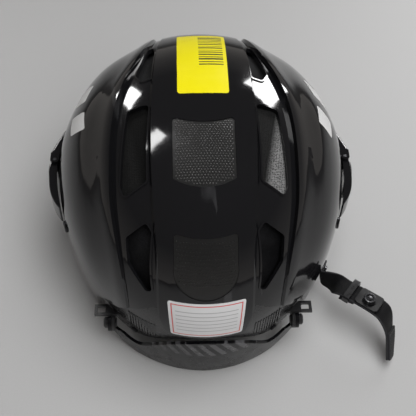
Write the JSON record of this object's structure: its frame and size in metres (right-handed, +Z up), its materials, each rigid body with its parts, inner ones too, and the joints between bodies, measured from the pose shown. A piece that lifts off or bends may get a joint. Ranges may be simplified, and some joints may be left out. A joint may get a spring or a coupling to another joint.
{
  "type": "ice hockey helmet",
  "caption": "Ice hockey helmet with a vented gloss shell, foam liner, sliding rear shell, tilting rear cradle, side latches and a chin strap.",
  "frame": {"origin": "on the ground under the middle of the helmet without its strap", "axes": "+Y ahead out of the face opening, +X to the wearer's right, +Z up"},
  "size_m": [0.2654, 0.2633, 0.1683],
  "materials": {
    "gloss_shell": "gloss",
    "base_plastic": "satin",
    "inset_plate": "textured",
    "matte_plastic": "satin",
    "liner_foam": "matte",
    "pad_fabric": "matte",
    "webbing": "woven",
    "steel": "black oxide"
  },
  "bodies": {
    "helmet": {"main_shell": "gloss_shell", "upper_inset_plate": "inset_plate", "lower_inset_plate": "inset_plate", "front_foam": "liner_foam", "crown_foam": "liner_foam", "right_side_foam": "liner_foam", "left_side_foam": "liner_foam", "brow_pad": "pad_fabric", "crown_pad": "pad_fabric", "right_temple_pad": "pad_fabric", "left_temple_pad": "pad_fabric", "temple_nuts": "steel", "forehead_nuts": "steel", "latch_pins": "steel", "size_studs": "steel", "strap_screw": "steel"},
    "rear_carrier": {"rear_base": "base_plastic", "rear_foam": "liner_foam", "rear_pad": "pad_fabric", "base_screws": "steel", "cradle_rivets": "matte_plastic", "right_strap_loop": "matte_plastic", "left_strap_loop": "matte_plastic"},
    "cradle": {"occipital_cradle": "matte_plastic", "cradle_pad": "pad_fabric"},
    "right_latch": {"right_size_latch": "gloss_shell"},
    "left_latch": {"left_size_latch": "gloss_shell"},
    "chin_strap": {"strap_root": "webbing", "strap_run": "webbing", "strap_tail": "webbing", "snap_plate": "matte_plastic", "snap_cap": "steel"},
    "strap_keeper": {"strap_slider": "matte_plastic"}
  },
  "joints": [
    {"name": "size_slide", "type": "slide", "parent": "helmet", "child": "rear_carrier", "axis": [0, 1, 0], "range_m": [0, 0.006]},
    {"name": "cradle_tilt", "type": "hinge", "parent": "rear_carrier", "child": "cradle", "pos_m": [0, -0.0965, 0.03], "axis": [1, 0, 0], "range_deg": [-3, 10]},
    {"name": "right_latch_open", "type": "hinge", "parent": "helmet", "child": "right_latch", "pos_m": [0.1129, 0.01456, 0.078], "axis": [0, 0, 1], "range_deg": [0, 75]},
    {"name": "left_latch_open", "type": "hinge", "parent": "helmet", "child": "left_latch", "pos_m": [-0.1129, 0.01456, 0.078], "axis": [0, 0, -1], "range_deg": [0, 75]},
    {"name": "chin_strap_swing", "type": "hinge", "parent": "helmet", "child": "chin_strap", "pos_m": [0.094, -0.04873, 0.02375], "axis": [-0.9119, 0.39, 0.1281], "range_deg": [0, 60]},
    {"name": "keeper_slide", "type": "slide", "parent": "chin_strap", "child": "strap_keeper", "axis": [0.7899, -0.6125, 0.0301], "range_m": [-0.0045, 0.003]}
  ]
}
